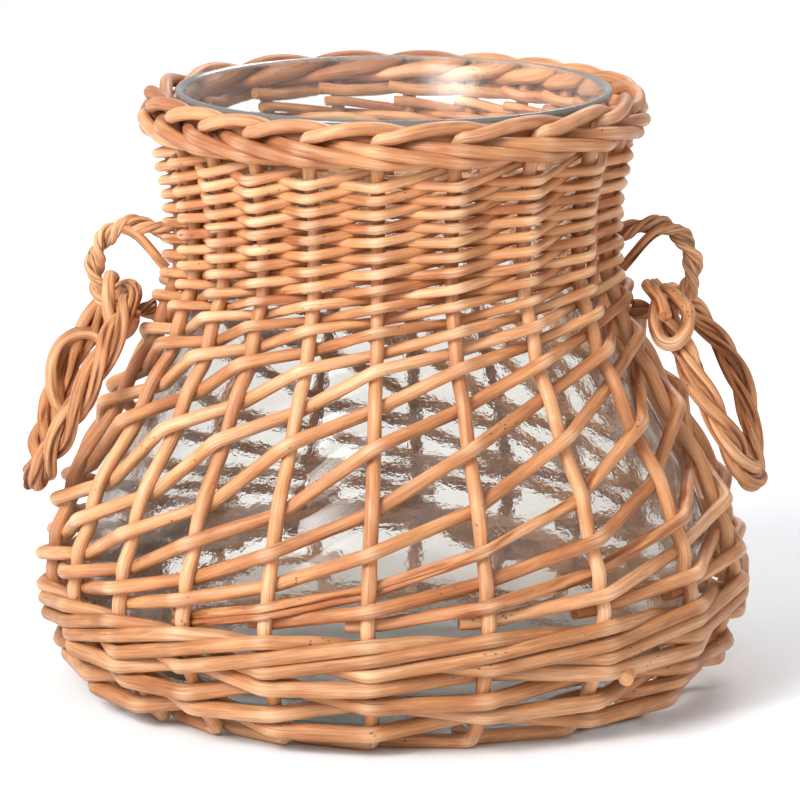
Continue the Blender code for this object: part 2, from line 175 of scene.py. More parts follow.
def soft_lamp(name, place, size, watts):
    """A lamp that faces the vase and fades towards its edges, so its reflections have no corners."""
    bpy.ops.object.select_all(action="DESELECT")
    aim = VASE_MIDDLE - Vector(place)
    bpy.ops.object.light_add(type="AREA", location=place, rotation=aim.to_track_quat("-Z", "Y").to_euler())
    lamp = bpy.context.object
    lamp.name = name
    lamp.data.size = size
    lamp.data.energy = watts
    lamp.data.use_nodes = True
    tree = lamp.data.node_tree
    across = add_node(tree, "ShaderNodeNewGeometry").outputs["Parametric"]
    distance = add_node(tree, "ShaderNodeVectorMath", {0: across, 1: LAMP_CENTRE}, operation="DISTANCE")
    fade = add_node(tree, "ShaderNodeMapRange", LAMP_FADE, interpolation_type="SMOOTHSTEP")
    fill(tree, fade, {"Value": distance.outputs["Value"]})
    powers = {0: fade.outputs["Result"], 1: LAMP_FADE_POWER}
    softer = add_node(tree, "ShaderNodeMath", powers, operation="POWER")
    tree.links.new(softer.outputs["Value"], tree.nodes["Emission"].inputs["Strength"])
    return lamp


lamps = [soft_lamp(*facts) for facts in LAMPS]
print("Lamps:", [lamp.name for lamp in lamps])

# %% [markdown]
# ## Places on the sleeve
# Every rod lies on one round sleeve, so a few formulas give each rod its way. A place round the vase is
# counted in stakes from the front to the right, and the sleeve's radius depends on the height. The formulas
# and sizes are those of the CAD model, so each finished rod lies where the plain one did.

# %% Places round the vase
STAKE_COUNT = 20
FRONT_STAKE_DEG = -4.0
CROWDING_DEG = 5.5


def blend(first, second, share):
    return first + (second - first) * share


def eased(share):
    """0 to 1 with a slow start and a slow end, held at both ends."""
    held = min(max(share, 0.0), 1.0)
    return held * held * (3.0 - 2.0 * held)


def azimuth(place):
    """Angle from the front to the right, in radians. The stakes stand closer on the left of the front."""
    even = 360.0 / STAKE_COUNT * place
    crowded = CROWDING_DEG * (1.0 - math.cos(math.radians(2.0 * even)))
    return math.radians(FRONT_STAKE_DEG + even + crowded)


def outward(place):
    angle = azimuth(place)
    return Vector((math.sin(angle), -math.cos(angle), 0.0))


def point_at(place, radius, height):
    return outward(place) * radius + Vector((0.0, 0.0, height))


print("The sixth stake stands", round(math.degrees(azimuth(5)), 1), "degrees to the right of the front")

# %% Outline of the sleeve
FOOT_RADIUS = 0.113
BELLY_RADIUS = 0.138
BELLY_HEIGHT = 0.050
NECK_RADIUS = 0.0846
NECK_HEIGHT = 0.183
BORDER_RADIUS = 0.0953
BORDER_HEIGHT = 0.236
STAKE_HALF = 0.0029
FOOT_ROUNDNESS = 0.9
BELLY_CORNERS = (0.26, 0.62, 1.10)
SHOULDER_CORNERS = (0.26, 0.48, 0.70, 0.90)
NECK_CORNERS = (0.28, 0.72)


def smooth_radius(height):
    """Middle line of the stakes: out to the belly, in to the neck and out again to the border."""
    if height < BELLY_HEIGHT:
        rise = max(height / BELLY_HEIGHT, 0.0) ** FOOT_ROUNDNESS
        return blend(FOOT_RADIUS, BELLY_RADIUS, math.sin(rise * math.pi / 2.0))
    if height < NECK_HEIGHT:
        rise = (height - BELLY_HEIGHT) / (NECK_HEIGHT - BELLY_HEIGHT)
        return blend(NECK_RADIUS, BELLY_RADIUS, (1.0 + math.cos(math.pi * rise)) / 2.0)
    rise = (height - NECK_HEIGHT) / (BORDER_HEIGHT - NECK_HEIGHT)
    return blend(NECK_RADIUS, BORDER_RADIUS, min(rise, 1.0) ** 2)


def stake_heights():
    """Heights of the corners of every upright stake between its two bends."""
    belly = [BELLY_HEIGHT * share for share in BELLY_CORNERS]
    shoulder = [blend(BELLY_HEIGHT, NECK_HEIGHT, share) for share in SHOULDER_CORNERS]
    neck = [blend(NECK_HEIGHT, BORDER_HEIGHT, share) for share in NECK_CORNERS]
    return [STAKE_HALF, *belly, *shoulder, *neck, BORDER_HEIGHT]


def stake_radius(height):
    """Radius of the CAD stakes' middle line, which has corners at those heights."""
    corners = stake_heights()
    held = min(max(height, corners[0]), corners[-1])
    for low, high in zip(corners, corners[1:]):
        if held <= high:
            return blend(smooth_radius(low), smooth_radius(high), (held - low) / (high - low))
    return smooth_radius(corners[-1])


sleeve_radii = [round(stake_radius(height), 4) for height in (BELLY_HEIGHT, NECK_HEIGHT)]
print("Sleeve radius at belly and neck:", sleeve_radii, "m")

# %% Points on the sleeve
GAP = 0.0003
WEAVE_EASE = 0.0003
SLOPE_STEP = 0.002


def steepness(height):
    """Angle of the sleeve's outward normal below the horizontal, in radians."""
    low = max(height - SLOPE_STEP, 0.0)
    high = height + SLOPE_STEP
    return math.atan2(smooth_radius(high) - smooth_radius(low), high - low)


def on_sleeve(place, height, offset):
    """Point at this offset from the stakes' middle line, square to the sleeve."""
    lean = steepness(height)
    return point_at(place, stake_radius(height) + offset * math.cos(lean), height - offset * math.sin(lean))


def woven_offset(place, height, rod_half, side):
    """Offset of a rod's middle line in front of a stake (side 1) or behind it (side -1)."""
    need = STAKE_HALF + rod_half + GAP + WEAVE_EASE * (2.0 if side > 0.0 else 1.0)
    spacing = (azimuth(place + 1) - azimuth(place - 1)) / 2.0
    bend = math.asin(2.0 * need / (stake_radius(height) * spacing))
    return side * need / math.cos(bend + side * spacing / 2.0)


front_offset = woven_offset(0, BELLY_HEIGHT, STAKE_HALF, 1.0)
print("A rod crosses in front of the first stake", round(front_offset / MILLIMETRE, 2), "mm out from it")

# %% [markdown]
# ## Willow, the finish
# Peeled willow is smooth, a warm honey colour with a satin sheen. It has fine streaks along the rod, paler
# and redder lengths, and small dark bud scars in groups of two or three. Every rod here carries its own
# straightened coordinates (metres along it, and the place across it) as an attribute, so the pattern runs
# along the rod round every bend. A picture of bark would need a file, and a pattern on object coordinates
# would cut across the rods.

# %% Noise and ranges
def stretched_noise(tree, coordinates, scale, detail=2.0, distortion=0.0):
    """Noise that is stretched along the rod: scale is features per metre along and across."""
    mapping = add_node(tree, "ShaderNodeMapping", {"Vector": coordinates, "Scale": scale})
    links = {"Vector": mapping.outputs["Vector"], "Scale": 1.0, "Detail": detail, "Distortion": distortion}
    return add_node(tree, "ShaderNodeTexNoise", links).outputs["Fac"]


def ranged(tree, source, low, high, to_low, to_high):
    """A value taken from one range to another and held inside it."""
    links = {"Value": source, "From Min": low, "From Max": high, "To Min": to_low, "To Max": to_high}
    return add_node(tree, "ShaderNodeMapRange", links, clamp=True).outputs["Result"]


print("Helpers made:", [helper.__name__ for helper in (stretched_noise, ranged)])

# %% Sums and colours
def combined(tree, operation, first, second):
    return add_node(tree, "ShaderNodeMath", {0: first, 1: second}, operation=operation).outputs["Value"]


def plus(tree, first, second):
    return combined(tree, "ADD", first, second)


def times(tree, first, second):
    return combined(tree, "MULTIPLY", first, second)


def tinted(tree, mode, share, first, second):
    """Two colours mixed by a share. Sockets 6 and 7 of a Mix node are its two colours."""
    sockets = {0: share, 6: first, 7: second}
    return add_node(tree, "ShaderNodeMix", sockets, data_type="RGBA", blend_type=mode).outputs[2]


def ramp(tree, source, stops):
    """Colour ramp through (position, colour) stops."""
    made = add_node(tree, "ShaderNodeValToRGB", {"Fac": source})
    while len(made.color_ramp.elements) < len(stops):
        made.color_ramp.elements.new(0.5)
    for element, (position, colour) in zip(made.color_ramp.elements, stops):
        element.position = position
        element.color = (*colour, 1.0)
    return made.outputs["Color"]


print("Helpers made:", [helper.__name__ for helper in (combined, plus, times, tinted, ramp)])

# %% Bud scars
SCAR_GROUP_SCALE = (30.0, 60.0, 60.0)
SCAR_SCALE = (290.0, 430.0, 430.0)
SCAR_EDGE = (0.10, 0.22)
GROUP_START = 0.64
GROUP_FULL = 0.67


def bud_scars(tree, along, share):
    """Small dark spots in groups of two or three, with plain lengths between the groups."""
    groups = stretched_noise(tree, along, SCAR_GROUP_SCALE, 1.0)
    mapped = add_node(tree, "ShaderNodeMapping", {"Vector": along, "Scale": SCAR_SCALE})
    cells = add_node(tree, "ShaderNodeTexVoronoi", {"Vector": mapped.outputs["Vector"], "Scale": 1.0})
    near = ranged(tree, cells.outputs["Distance"], *SCAR_EDGE, 1.0, 0.0)
    grouped = ranged(tree, groups, GROUP_START - share, GROUP_FULL - share, 0.0, 1.0)
    return times(tree, near, grouped)


print("Inside a group a scar can come every", round(1.0 / SCAR_SCALE[0] / MILLIMETRE, 1), "mm")

# %% Willow finish
# Pale colour at bends: partly the paler fibres of a real crease, partly a painted highlight on raised kinks.
PALE_CREASE_AND_HIGHLIGHT = (0.86, 0.60, 0.38, 1.0)
BUD_SCAR = (0.10, 0.035, 0.012, 1.0)
PATCH_SCALE = (16.0, 70.0, 70.0)
STAIN_SCALE = (42.0, 210.0, 210.0)
STREAK_SCALE = (38.0, 1300.0, 1300.0)
FIBRE_SCALE = (120.0, 2600.0, 2600.0)
PATCH_SHARE = 0.9
TONE_SHARE = 0.80
STREAK_RANGE = (0.32, 0.68)
# Each range: from low, from high, to low, to high.
STAIN_RANGE = (0.35, 0.75, -0.12, 0.26)
AGE_RANGE = (0.35, 1.25, 0.0, 1.0)
FIBRE_RANGE = (0.3, 0.7, 0.84, 1.10)
CREASE_AND_HIGHLIGHT_RANGE = (0.35, 0.60, 0.15, 0.60)
SCAR_DARKNESS = 0.85
GRAIN = {"Strength": 0.6, "Distance": 0.0005}


def willow_finish(name, tones, roughness, streak_depth, scar_share):
    """Peeled willow: tone by rod and length, streaks, pale creases (partly a painted highlight), bud scars,
    and fine grain in the bump.
    """
    material, tree, shader = new_finish(name)
    along = add_node(tree, "ShaderNodeAttribute", attribute_name="straight").outputs["Vector"]
    # The tone attribute carries each rod's own tone, plus painted shade where the rod is cleft.
    tone = add_node(tree, "ShaderNodeAttribute", attribute_name="tone").outputs["Fac"]
    crease_and_highlight = add_node(tree, "ShaderNodeAttribute", attribute_name="crease_and_highlight").outputs["Fac"]
    patches = stretched_noise(tree, along, PATCH_SCALE, 3.0)
    stains = stretched_noise(tree, along, STAIN_SCALE, 3.0, 0.6)
    streaks = stretched_noise(tree, along, STREAK_SCALE, 3.0, 0.3)
    fibres = stretched_noise(tree, along, FIBRE_SCALE, 2.0)
    age = plus(tree, times(tree, patches, PATCH_SHARE), times(tree, tone, TONE_SHARE))
    age = plus(tree, age, ranged(tree, stains, *STAIN_RANGE))
    stops = zip((0.0, 0.5, 1.0), tones)
    colour = ramp(tree, ranged(tree, age, *AGE_RANGE), tuple(stops))
    shade = ranged(tree, streaks, *STREAK_RANGE, 1.0 - streak_depth, 1.0 + streak_depth * 0.5)
    shade = times(tree, shade, ranged(tree, fibres, *FIBRE_RANGE))
    shade_colour = add_node(tree, "ShaderNodeCombineColor", {"Red": shade, "Green": shade, "Blue": shade})
    colour = tinted(tree, "MULTIPLY", 1.0, colour, shade_colour.outputs["Color"])
    # Sharp bends are mixed towards the pale colour: paler creased fibres and a painted highlight on the
    # kinks.
    crease_and_highlight_share = times(tree, crease_and_highlight, ranged(tree, streaks, *CREASE_AND_HIGHLIGHT_RANGE))
    colour = tinted(tree, "MIX", crease_and_highlight_share, colour, PALE_CREASE_AND_HIGHLIGHT)
    scars = bud_scars(tree, along, scar_share)
    colour = tinted(tree, "MIX", times(tree, scars, SCAR_DARKNESS), colour, BUD_SCAR)
    gloss = ranged(tree, patches, 0.3, 0.7, roughness - 0.08, roughness + 0.10)
    gloss = plus(tree, gloss, times(tree, scars, 0.3))
    relief = plus(tree, times(tree, streaks, 0.7), times(tree, fibres, 0.3))
    relief = combined(tree, "SUBTRACT", relief, times(tree, scars, 0.5))
    bump = add_node(tree, "ShaderNodeBump", {"Height": relief, **GRAIN})
    fill(tree, shader, {"Base Color": colour, "Roughness": gloss, "Normal": bump.outputs["Normal"]})
    fill(tree, shader, {"Specular IOR Level": 0.9 - roughness})
    return material


print("Fibres are", round(1.0 / FIBRE_SCALE[1] / MILLIMETRE, 2), "mm wide")

# %% Tones of willow
HONEY_TONES = ((0.88, 0.54, 0.315), (0.69, 0.320, 0.134), (0.41, 0.135, 0.044))
# The band's tones are willow's own colour made darker than the honey tones: painted shade at the foot.
WALING_TONES_WITH_PAINTED_SHADE = ((0.74, 0.415, 0.220), (0.52, 0.222, 0.084), (0.28, 0.086, 0.027))
SKEIN_TONES = ((0.80, 0.43, 0.215), (0.54, 0.215, 0.080), (0.17, 0.048, 0.015))
HANDLE_TONES = ((0.84, 0.47, 0.25), (0.58, 0.235, 0.088), (0.22, 0.058, 0.018))

# Each finish: its name, tones, roughness, depth of the streaks and share of bud scars.
upright_willow = willow_finish("upright_willow_rods", HONEY_TONES, 0.42, 0.20, 0.03)
spiral_willow = willow_finish("spiral_willow_rods", HONEY_TONES, 0.44, 0.24, 0.045)
waling_willow = willow_finish("waling_willow_rods", WALING_TONES_WITH_PAINTED_SHADE, 0.46, 0.28, 0.04)
ring_willow = willow_finish("ring_skeins", SKEIN_TONES, 0.66, 0.40, 0.0)
handle_willow = willow_finish("handle_willow_rods", HANDLE_TONES, 0.62, 0.40, 0.03)
print("Finishes so far:", [finish.name for finish in bpy.data.materials])

# %% [markdown]
# ## Cut ends
# Where a rod is cut, its end is dull and shows short grain, brown in one spot and pale in the next. The
# caps of each rod get this finish. It reads the same straightened coordinates as the rod's own finish,
# whose last two numbers are distances from the rod's middle line, so the grain belongs to each end and
# never slides.

# %% Cut ends
CUT_TONES = ((0.3, (0.40, 0.24, 0.12)), (0.5, (0.66, 0.46, 0.27)), (0.7, (0.84, 0.67, 0.46)))
CUT_SCALE = (300.0, 900.0, 900.0)
CUT_ROUGHNESS = 0.85


def cut_end_finish():
    material, tree, shader = new_finish("cut_willow_ends")
    along = add_node(tree, "ShaderNodeAttribute", attribute_name="straight").outputs["Vector"]
    spots = stretched_noise(tree, along, CUT_SCALE, 3.0)
    bump = add_node(tree, "ShaderNodeBump", {"Height": spots, **GRAIN})
    fill(tree, shader, {"Base Color": ramp(tree, spots, CUT_TONES), "Roughness": CUT_ROUGHNESS})
    fill(tree, shader, {"Normal": bump.outputs["Normal"]})
    return material


cut_willow = cut_end_finish()
print("Cut ends have", len(CUT_TONES), "tones")

# %% [markdown]
# ## One rod
# A willow rod is round, a little uneven, and bends softly even where it is pulled tight round a stake. Each
# rod starts as a path curve through the points where it crosses the stakes. The points are spread evenly
# and eased, so the corners become short bends, the thickness wavers a little, and the curve's round bevel
# makes the rod. It then becomes a mesh, which carries the straightened coordinates for the finish. A split
# rod also gets clefts, whose points are drawn in towards its middle line, and whose tone is made darker by
# their depth: painted shade in the clefts.

# %% The way of a rod
ROD_SPACING = 0.0022
WAVER_LENGTH = 0.022
WAVER_SHARE = 0.06
CREASE_BEND = 0.34


def soften(values):
    """Draws each value but the first and last towards its neighbours."""
    values[1:-1] = 0.25 * values[:-2] + 0.5 * values[1:-1] + 0.25 * values[2:]


def lengths_along(line):
    return np.concatenate(([0.0], np.cumsum(np.linalg.norm(np.diff(line, axis=0), axis=1))))


def even_stations(stations, spacing, rounds):
    """Evenly spaced points and halves along a rod's crossings, with each corner eased in so many rounds."""
    points = np.array([tuple(point) for point, half in stations])
    halves = np.array([half for point, half in stations])
    lengths = lengths_along(points)
    count = max(int(lengths[-1] / spacing), 2)
    marks = np.linspace(0.0, lengths[-1], count + 1)
    line = np.stack([np.interp(marks, lengths, points[:, axis]) for axis in range(3)], axis=1)
    thick = np.interp(marks, lengths, halves)
    for _ in range(rounds):
        soften(line)
    return line, thick


def noise_at(*place):
    return noise.noise(Vector(place))


def wavered(thick, spacing, seed):
    """Slow unevenness of a rod's thickness."""
    marks = [(index * spacing / WAVER_LENGTH, seed * 7.3, 1.7) for index in range(len(thick))]
    return np.array([half * (1.0 + WAVER_SHARE * noise_at(*mark)) for half, mark in zip(thick, marks)])


def creases(line):
    """How sharply a rod bends at each of its points, from 0 to 1."""
    steps = np.diff(line, axis=0)
    steps /= np.linalg.norm(steps, axis=1)[:, None]
    bends = np.zeros(len(line))
    bends[1:-1] = np.linalg.norm(np.diff(steps, axis=0), axis=1)
    soften(bends)
    return np.clip(bends / CREASE_BEND, 0.0, 1.0)


print("A rod has a point every", ROD_SPACING / MILLIMETRE, "mm")

# %% From path to rod
ROD_SIDES = 12


def poly_path(name, line):
    """A path curve with straight pieces between its points."""
    bpy.ops.object.select_all(action="DESELECT")
    bpy.ops.curve.primitive_nurbs_path_add()
    made = bpy.context.object
    made.name = name
    made.data.splines.clear()
    spline = made.data.splines.new("POLY")
    spline.points.add(len(line) - 1)
    for point, place in zip(spline.points, line):
        point.co = (*place, 1.0)
    return made


def rod_curve(name, line, halves, sides):
    """A path curve with a round bevel of 1 m, so each point's radius is the rod's half in metres."""
    made = poly_path(name, line)
    for point, half in zip(made.data.splines[0].points, halves):
        point.radius = half
    made.data.bevel_depth = 1.0
    made.data.bevel_resolution = sides // 2 - 2
    made.data.use_fill_caps = True
    made.data.twist_mode = "MINIMUM"
    return made


def cap_order(line):
    """The rings in the order of the mesh: a ring for each cap, then all along the rod."""
    return np.concatenate(([len(line) - 1, 0], np.arange(len(line))))


def write_attribute(made, name, kind, field, values):
    attribute = made.data.attributes.new(name, kind, "POINT")
    attribute.data.foreach_set(field, values.astype(np.float32).ravel())


def straightened(made, line, halves, sides, shift, tones):
    """Writes each point's straightened place, tone and bend, ring by ring, before the caps are merged.
    Clefts add painted shade to the tone, and the bend makes pale creases that are partly a painted highlight.
    """
    marks = lengths_along(line) + shift
    order = cap_order(line)
    turns = 2.0 * math.pi * np.arange(sides) / sides
    values = np.zeros((len(order), sides, 3))
    values[:, :, 0] = marks[order][:, None]
    values[:, :, 1] = halves[order][:, None] * np.cos(turns)
    values[:, :, 2] = halves[order][:, None] * np.sin(turns)
    write_attribute(made, "straight", "FLOAT_VECTOR", "vector", values)
    write_attribute(made, "tone", "FLOAT", "value", tones[order])
    # The bend drives the pale creases, which are partly a painted highlight.
    write_attribute(made, "crease_and_highlight", "FLOAT", "value", np.repeat(creases(line)[order], sides))


print("A plain rod has", ROD_SIDES, "sides")

# %% Splits
CLEFTS = 3
CLEFT_WANDER = 2.4
CLEFT_LENGTH = 0.016
CLEFT_OPENING = 0.55
CLEFT_VARIETY = 1.6
CLEFT_SHARPNESS = 18


def cleft_depths(count, sides, spacing, seed):
    """How deep the clefts are at each point of each ring, from 0 to 1. They wander round the rod."""
    turns = 2.0 * math.pi * np.arange(sides) / sides
    depths = np.zeros((count, sides))
    for ring in range(count):
        mark = ring * spacing / CLEFT_LENGTH
        for cleft in range(CLEFTS):
            wander = noise_at(mark * 0.5, cleft * 5.1 + seed, 0.3)
            opening = eased(CLEFT_OPENING + CLEFT_VARIETY * noise_at(mark, cleft * 3.3, seed + 0.5))
            where = 2.0 * math.pi * cleft / CLEFTS + seed + CLEFT_WANDER * wander
            profile = np.clip(np.cos(turns - where), 0.0, 1.0) ** CLEFT_SHARPNESS
            depths[ring] = np.maximum(depths[ring], opening * profile)
    return depths


def open_clefts(made, line, depths, share):
    """Draws the points of each cleft towards the rod's middle line."""
    order = cap_order(line)
    places = np.zeros(len(made.data.vertices) * 3, dtype=np.float32)
    made.data.vertices.foreach_get("co", places)
    places = places.reshape(len(order), -1, 3)
    middles = line[order][:, None, :]
    places = middles + (places - middles) * (1.0 - share * depths[order])[:, :, None]
    made.data.vertices.foreach_set("co", places.astype(np.float32).ravel())


print("A split rod has", CLEFTS, "clefts")

# %% The whole rod
PATTERN_SHIFT = 0.37
TOP_TONE_STEP = 0.006
TOP_TONE_DEPTH = 2.5
SMOOTH_DEG = 50.0
ROD_MERGE = 1e-6


def close_up(room):
    """In edit mode: merges the doubles, turns the faces outwards and goes back to object mode."""
    bpy.ops.mesh.select_all(action="SELECT")
    bpy.ops.mesh.remove_doubles(threshold=room)
    bpy.ops.mesh.normals_make_consistent(inside=False)
    bpy.ops.object.mode_set(mode="OBJECT")


def willow_rod(name, stations, seed, tone, finish, ease=1, spacing=ROD_SPACING, sides=ROD_SIDES, split=0.0,
               top_tone=0.0):
    """A finished rod as one closed mesh."""
    line, thick = even_stations(stations, spacing, ease)
    halves = wavered(thick, spacing, seed)
    line[:, 2] = np.maximum(line[:, 2], halves)
    made = rod_curve(name, line, halves, sides)
    bpy.ops.object.convert(target="MESH")
    made = bpy.context.object
    expected = (len(line) + 2) * sides
    if len(made.data.vertices) != expected:
        raise ValueError(f"{name} has {len(made.data.vertices)} points instead of {expected}")
    depths = cleft_depths(len(line), sides, spacing, seed) if split else np.zeros((len(line), sides))
    steps = [(height - BORDER_HEIGHT) / TOP_TONE_STEP + TOP_TONE_DEPTH for height in line[:, 2]]
    above = np.array([eased(step) for step in steps])
    # Cleft depths are added to the tone, so the clefts are darker: painted shade in the clefts.
    tones = tone + top_tone * above[:, None] + depths
    straightened(made, line, halves, sides, seed * PATTERN_SHIFT, tones)
    open_clefts(made, line, depths, split)
    bpy.ops.object.mode_set(mode="EDIT")
    close_up(ROD_MERGE)
    bpy.ops.object.shade_smooth_by_angle(angle=math.radians(SMOOTH_DEG))
    made.data.materials.clear()
    made.data.materials.append(finish)
    made.data.materials.append(cut_willow)
    for face in made.data.polygons:
        if len(face.vertices) > 4:
            face.material_index = 1
    return made


def joined(name, pieces):
    bpy.ops.object.select_all(action="DESELECT")
    for piece in pieces:
        piece.select_set(True)
    bpy.context.view_layer.objects.active = pieces[0]
    bpy.ops.object.join()
    made = bpy.context.object
    made.name = name
    return made


def tone_of(seed):
    """A rod's own tone, 0 pale to 1 red, the same on every run."""
    return 0.5 + 0.5 * noise_at(seed * 3.17 + 0.5, 4.1, 0.3)


print("Tones of the first five rods:", [round(tone_of(seed), 2) for seed in range(5)])

# %% [markdown]
# ## Where the rods cross
# Every weaver climbs to the right and crosses one stake after another, in front of it and behind it by
# turns. It climbs steeply through the open lattice and slowly in the neck. Both rods give way where they
# cross, so a stake sways out a little where a weaver passes behind it. Real rods are never quite even
# either: each crossing is moved by a small amount, taken from a noise with a fixed seed, so every run gives
# the same vase.

# %% Climb of the weavers
OPEN_STAKES = 5.0
CLOSING_STAKES = 6.0
LEVELLED_STAKES = 9.0
LATTICE_MIDDLE_HEIGHT = 0.1062
LATTICE_MIDDLE_STAKE = 4.5
LATTICE_SPREAD = 2.0
LATTICE_PITCH = 0.0200
NECK_PITCH = 0.00270
WALE_TOP_LOW = 0.0444
WALE_TOP_RISE = 0.0070
WALE_TOP_POWER = 1.5
WALE_HIGH_DEG = 28.0


def wale_top(place):
    """Upper edge of the lower band, highest towards the right of the front."""
    share = (1.0 + math.cos(azimuth(place) - math.radians(WALE_HIGH_DEG))) / 2.0
    return WALE_TOP_LOW + WALE_TOP_RISE * share**WALE_TOP_POWER


def level_at(passed):
    """Climb of a weaver, steep through the lattice and slow in the neck."""
    ahead = passed - LATTICE_MIDDLE_STAKE
    level = LATTICE_MIDDLE_HEIGHT + NECK_PITCH * ahead
    return level + (LATTICE_PITCH - NECK_PITCH) * LATTICE_SPREAD * math.atan(ahead / LATTICE_SPREAD)


def crossing_height(passed, place):
    lift = wale_top(place) - wale_top(0)
    return level_at(passed) + lift * (1.0 - eased(passed / LEVELLED_STAKES))


first_heights = [round(crossing_height(passed, passed), 4) for passed in range(5)]
print("A weaver crosses its first five stakes at", first_heights, "m")

# %% Give and unevenness
STAKE_SWAY = 0.0013
NOISE_SPREAD = 1.6


def closing(passed):
    """0 while a weaver belongs to the open lattice, 1 once it lies in the close neck weave."""
    return eased((passed - OPEN_STAKES) / CLOSING_STAKES)


def weave_side(passed):
    """1 where a weaver passes in front of a stake, -1 where it passes behind."""
    return 1.0 if passed % 2 == 1 else -1.0


def stake_sway(passed):
    """How far a stake gives way: out where the weaver passes behind it, in where it passes in front."""
    return -weave_side(passed) * STAKE_SWAY * (1.0 - closing(passed))


def uneven(first, second, amount):
    """A fixed small number between -amount and amount."""
    return amount * NOISE_SPREAD * noise_at(first * 1.37 + 0.21, second * 2.11 + 0.43, 0.77)


print("At its third crossing a stake sways", round(stake_sway(2) / MILLIMETRE, 2), "mm")

# %% [markdown]
# ## Stakes, foot border and rolled border
# Each stake is one rod. Its lower end is kinked to the left under the lowest row and tucked behind the next
# stake. Its upper end is bent sharply to the right, rises over the rim, passes behind two stakes and in
# front of two, and ends inside. Copies of one shape would do for even spacing, but the real stakes crowd on
# one side, so each is drawn from the formulas.

# %% Foot border
TAIL_HALF = 0.00240
FOOT_RUN_STAKES = 1.13
FOOT_TAIL_RISE = 0.0042
FOOT_TAIL_INSET = 0.0010


def foot_way(place):
    radius = smooth_radius(STAKE_HALF)
    inside = radius - 2.0 * STAKE_HALF - GAP
    tail = point_at(place - FOOT_RUN_STAKES, inside - FOOT_TAIL_INSET, STAKE_HALF + FOOT_TAIL_RISE)
    behind = point_at(place - 1, inside, STAKE_HALF)
    return [(tail, TAIL_HALF), (behind, STAKE_HALF), (point_at(place, radius, STAKE_HALF), STAKE_HALF)]


print("Foot bend at a radius of", round(smooth_radius(STAKE_HALF), 4), "m")

# %% Upright part
BORDER_HALF = 0.00275
LATTICE_CROSSINGS = 9
STAKE_WAVES = 30.0
STAKE_UNEVEN = 0.012
CORNER_ROOM = 0.006


def upright_way(place):
    """The part between the bends, with a small sway at every crossing of the open lattice."""
    marks = [(crossing_height(passed, place), stake_sway(passed)) for passed in range(LATTICE_CROSSINGS)]
    for height in stake_heights()[1:]:
        if all(abs(height - crossed) > CORNER_ROOM for crossed, sway in marks[:LATTICE_CROSSINGS]):
            marks.append((height, 0.0))
    way = []
    for height, sway in sorted(marks):
        half = blend(STAKE_HALF, BORDER_HALF, eased((height - BELLY_HEIGHT) / (NECK_HEIGHT - BELLY_HEIGHT)))
        wander = uneven(place, height * STAKE_WAVES, STAKE_UNEVEN)
        way.append((on_sleeve(place + wander, height, sway), half))
    return way


print("The first stake has", len(upright_way(0)), "points between its bends")

# %% Rolled border
FULL_BORDER_HALF = 0.00280
BORDER_SQUEEZE = 0.851
BORDER_FLOOR = -1.76
TAPER_START = 4.0
BORDER_ROUTE = (
    (0.14, 0.28, 0.22),
    (0.32, 0.42, 0.62),
    (0.60, 0.22, 1.00),
    (0.90, -0.20, 1.06),
    (1.12, -0.52, 0.94),
    (1.32, -0.66, 0.58),
    (1.55, -0.86, 0.22),
    (1.78, -0.80, 0.00),
    (2.00, -1.09, -0.05),
    (2.30, -0.62, -0.40),
    (2.60, 0.25, -0.48),
    (3.00, 1.10, -0.60),
    (3.50, 1.12, -1.10),
    (4.00, 1.14, -1.58),
    (4.50, 0.20, -1.76),
    (4.93, -1.06, -1.56),
    (5.30, -1.06, -1.22),
)


def border_way(place):
    """The rolled end. Its route is in stakes to the right, and in rod thicknesses out and up."""
    rod_step = 2.0 * BORDER_HALF + GAP
    way = []
    for travelled, out, rise in BORDER_ROUTE:
        height = BORDER_HEIGHT + (BORDER_FLOOR + (rise - BORDER_FLOOR) * BORDER_SQUEEZE) * rod_step
        half = blend(FULL_BORDER_HALF, TAIL_HALF, eased(travelled - TAPER_START))
        way.append((point_at(place + travelled, stake_radius(height) + out * rod_step, height), half))
    return way


print("A stake's end runs", BORDER_ROUTE[-1][0], "stakes along the border")

# %% Stakes
BORDER_TONE = 0.22


def stake(number):
    place = number - 1
    way = foot_way(place) + upright_way(place) + border_way(place)
    name = f"stake_{number:02d}"
    tone = tone_of(number)
    made = willow_rod(f"willow_{name}", way, number, tone, upright_willow, ease=2, top_tone=BORDER_TONE)
    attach(made, "vase")
    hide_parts(name)
    return made


stakes = [stake(number) for number in range(1, STAKE_COUNT + 1)]
print(len(stakes), "stakes,", sum(len(rod.data.polygons) for rod in stakes), "faces")

# %% [markdown]
# ## Spiral weavers
# Twenty rods start inside above the lower band, one behind each stake, and all twenty wind round the neck,
# where they lie close together. A woven cloth made by a modifier couldn't thin and thicken the rods, so
# each weaver is laid through its own crossings. A few are split, and one has a thin second rod laid along
# its start.

# %% Weaver crossings
END_STAKES = 0.22
LATTICE_HALF = 0.00210
NECK_ROD_HALF = 0.00140
FULL_LATTICE_HALF = 0.00275
FULL_NECK_HALF = 0.00198
LATTICE_PRESS = 0.0005
LATTICE_UNEVEN = 0.0010
NECK_UNEVEN = 0.0006


def weaver_crossing(first, passed, shift=0.0):
    """Middle point and half thickness where a weaver crosses a stake, or a little before or after it."""
    place = first + passed
    closed = closing(passed)
    height = crossing_height(passed, place)
    side = weave_side(passed)
    offset = woven_offset(place, height, blend(LATTICE_HALF, NECK_ROD_HALF, closed), side)
    offset -= side * (STAKE_SWAY + LATTICE_PRESS) * (1.0 - closed)
    height += uneven(first, passed, blend(LATTICE_UNEVEN, NECK_UNEVEN, closed)) * eased(passed / 2.0)
    return (on_sleeve(place + shift, height, offset), blend(FULL_LATTICE_HALF, FULL_NECK_HALF, closed))


